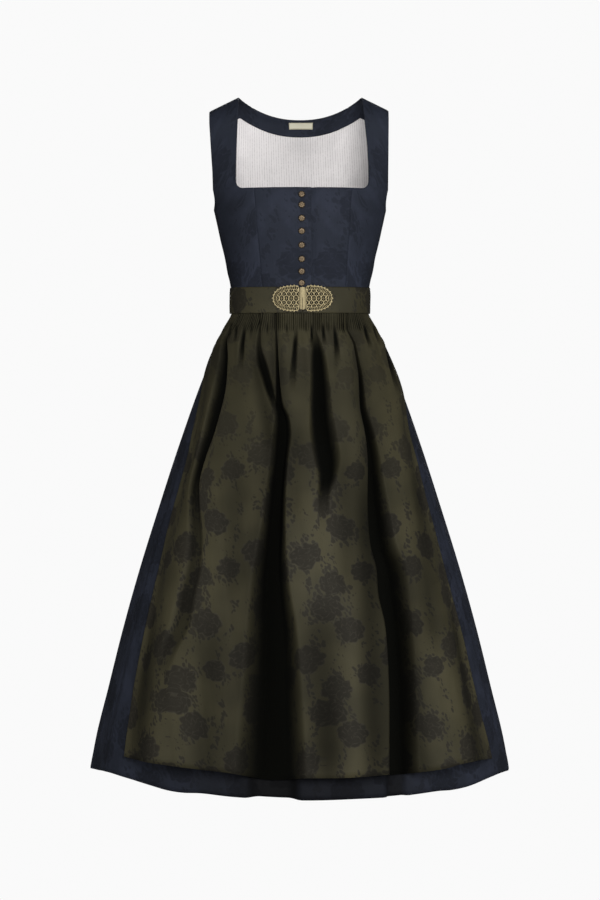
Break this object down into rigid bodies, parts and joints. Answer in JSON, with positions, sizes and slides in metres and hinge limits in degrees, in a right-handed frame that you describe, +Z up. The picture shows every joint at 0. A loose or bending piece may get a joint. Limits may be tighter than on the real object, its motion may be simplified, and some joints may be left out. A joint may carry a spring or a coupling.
{
  "type": "dirndl dress",
  "caption": "Sleeveless folk dress with a buttoned square-necked bodice, gathered full skirt, shirred apron and waist belt closed by a pierced oval clasp.",
  "frame": {"origin": "midway between the tops of the two straps, where shoulders or a hanger hold the dress", "axes": "+Z up, -Y is the front of the dress, +X is the wearer's left"},
  "size_m": [0.7552, 0.6727, 1.2054],
  "materials": {
    "navy_cloth": "navy jacquard, soft sheen",
    "facing_cloth": "navy jacquard, soft sheen",
    "olive_cloth": "olive jacquard with dark flowers, satin sheen",
    "belt_cloth": "olive jacquard, satin sheen",
    "pale_lining": "pale grey cotton with fine upright pinstripes",
    "cream_label": "woven, blank",
    "gold_metal": "antique pale gold",
    "brass_metal": "antique dark brass"
  },
  "bodies": {
    "root": {"apron": "olive_cloth", "back_centre": "navy_cloth", "back_side_left": "navy_cloth", "back_side_right": "navy_cloth", "belt": "belt_cloth", "button_1": "brass_metal", "button_2": "brass_metal", "button_3": "brass_metal", "button_4": "brass_metal", "button_5": "brass_metal", "button_6": "brass_metal", "button_7": "brass_metal", "button_8": "brass_metal", "clasp_bar": "gold_metal", "clasp_left": "gold_metal", "clasp_right": "gold_metal", "facing_neck": "facing_cloth", "front_centre_left": "navy_cloth", "front_centre_right": "navy_cloth", "front_side_left": "navy_cloth", "front_side_right": "navy_cloth", "label": "cream_label", "lining_back": "pale_lining", "skirt_back_left": "navy_cloth", "skirt_back_right": "navy_cloth", "skirt_front": "navy_cloth"}
  },
  "joints": []
}
